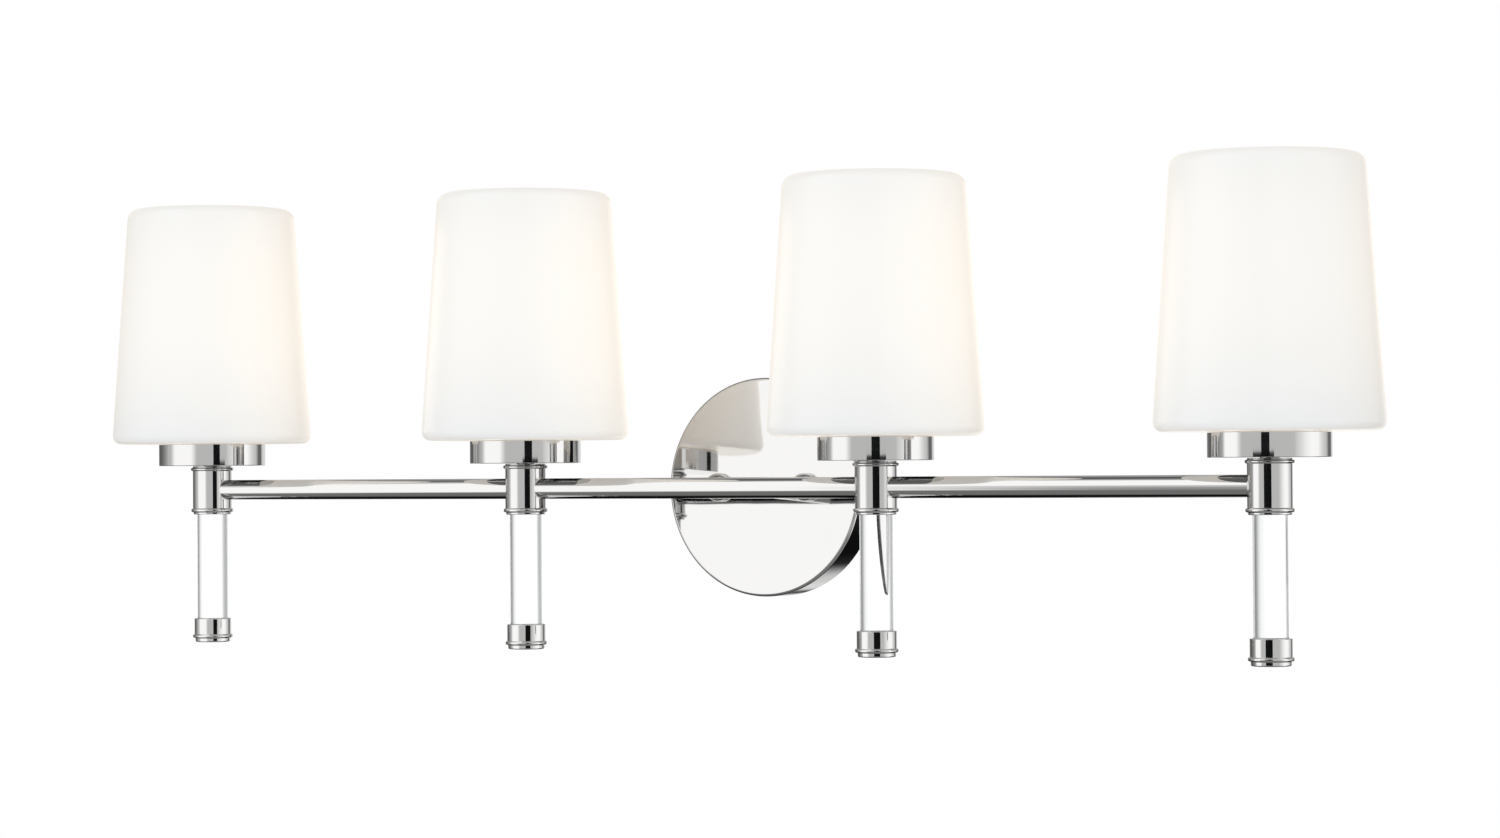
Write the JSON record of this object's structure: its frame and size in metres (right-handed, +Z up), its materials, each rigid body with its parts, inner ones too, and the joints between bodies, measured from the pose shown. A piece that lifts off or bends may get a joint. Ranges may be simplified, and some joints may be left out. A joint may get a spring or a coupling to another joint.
{
  "type": "vanity light bar",
  "caption": "Wall bar of upright tapered opal glass shades on chrome cups and hubs, clear rods with chrome caps hanging below, one arm to a round back plate.",
  "frame": {"origin": "centre of the round back plate's rear rim, on the wall's surface", "axes": "+X along the bar to the right as seen from the room, +Y into the wall, +Z up towards the shades' mouths"},
  "size_m": [0.8102, 0.1567, 0.2635],
  "materials": {
    "chrome": "polished chrome plate on the hubs, caps, cups, bar, arm, back plate and domed nuts",
    "opal_glass": "white opal glass with a satin skin",
    "clear_rod": "solid clear polished rod",
    "lamp_glass": "frosted white lamp glass, lit",
    "lamp_base": "plain rolled screw base",
    "lampholder": "moulded insulating body, off-white",
    "screw_shell": "plain pressed brass",
    "zinc_steel": "zinc-plated steel, hidden hardware",
    "ground_screw": "green-dyed steel",
    "lead_sleeve": "black insulating sleeve"
  },
  "bodies": {
    "fixture": {"shade_1": "opal_glass", "fitter_cup_1": "chrome", "lampholder_1": "lampholder", "screw_shell_1": "screw_shell", "nipple_1": "zinc_steel", "hub_1": "chrome", "clear_rod_1": "clear_rod", "end_cap_1": "chrome", "lead_1": "lead_sleeve", "shade_2": "opal_glass", "fitter_cup_2": "chrome", "lampholder_2": "lampholder", "screw_shell_2": "screw_shell", "nipple_2": "zinc_steel", "hub_2": "chrome", "clear_rod_2": "clear_rod", "end_cap_2": "chrome", "lead_2": "lead_sleeve", "shade_3": "opal_glass", "fitter_cup_3": "chrome", "lampholder_3": "lampholder", "screw_shell_3": "screw_shell", "nipple_3": "zinc_steel", "hub_3": "chrome", "clear_rod_3": "clear_rod", "end_cap_3": "chrome", "lead_3": "lead_sleeve", "shade_4": "opal_glass", "fitter_cup_4": "chrome", "lampholder_4": "lampholder", "screw_shell_4": "screw_shell", "nipple_4": "zinc_steel", "hub_4": "chrome", "clear_rod_4": "clear_rod", "end_cap_4": "chrome", "lead_4": "lead_sleeve", "bar_tube_left": "chrome", "bar_tube_middle": "chrome", "bar_tube_right": "chrome", "arm_tube": "chrome", "back_plate": "chrome", "arm_lock_nut": "zinc_steel", "mounting_strap": "zinc_steel", "stud_left": "zinc_steel", "stud_right": "zinc_steel", "ground_screw": "ground_screw"},
    "lamp_1": {"lamp_base_1": "lamp_base", "lamp_glass_1": "lamp_glass"},
    "lamp_2": {"lamp_base_2": "lamp_base", "lamp_glass_2": "lamp_glass"},
    "lamp_3": {"lamp_base_3": "lamp_base", "lamp_glass_3": "lamp_glass"},
    "lamp_4": {"lamp_base_4": "lamp_base", "lamp_glass_4": "lamp_glass"},
    "ring_1": {"shade_ring_1": "lampholder"},
    "ring_2": {"shade_ring_2": "lampholder"},
    "ring_3": {"shade_ring_3": "lampholder"},
    "ring_4": {"shade_ring_4": "lampholder"},
    "cap_nut_left": {"cap_nut_left": "chrome"},
    "cap_nut_right": {"cap_nut_right": "chrome"}
  },
  "joints": [
    {"name": "lamp_1_lift", "type": "slide", "parent": "fixture", "child": "lamp_1", "axis": [0, 0, 1], "range_m": [0, 0.16]},
    {"name": "lamp_2_lift", "type": "slide", "parent": "fixture", "child": "lamp_2", "axis": [0, 0, 1], "range_m": [0, 0.16]},
    {"name": "lamp_3_lift", "type": "slide", "parent": "fixture", "child": "lamp_3", "axis": [0, 0, 1], "range_m": [0, 0.16]},
    {"name": "lamp_4_lift", "type": "slide", "parent": "fixture", "child": "lamp_4", "axis": [0, 0, 1], "range_m": [0, 0.16]},
    {"name": "shade_ring_1_turn", "type": "hinge", "parent": "fixture", "child": "ring_1", "pos_m": [-0.345, -0.0966, 0.0344], "axis": [0, 0, 1], "continuous": true},
    {"name": "shade_ring_2_turn", "type": "hinge", "parent": "fixture", "child": "ring_2", "pos_m": [-0.115, -0.0966, 0.0344], "axis": [0, 0, 1], "continuous": true},
    {"name": "shade_ring_3_turn", "type": "hinge", "parent": "fixture", "child": "ring_3", "pos_m": [0.115, -0.0966, 0.0344], "axis": [0, 0, 1], "continuous": true},
    {"name": "shade_ring_4_turn", "type": "hinge", "parent": "fixture", "child": "ring_4", "pos_m": [0.345, -0.0966, 0.0344], "axis": [0, 0, 1], "continuous": true},
    {"name": "cap_nut_left_turn", "type": "hinge", "parent": "fixture", "child": "cap_nut_left", "pos_m": [-0.029, -0.0265, 0], "axis": [0, 1, 0], "continuous": true},
    {"name": "cap_nut_right_turn", "type": "hinge", "parent": "fixture", "child": "cap_nut_right", "pos_m": [0.029, -0.0265, 0], "axis": [0, 1, 0], "continuous": true}
  ]
}
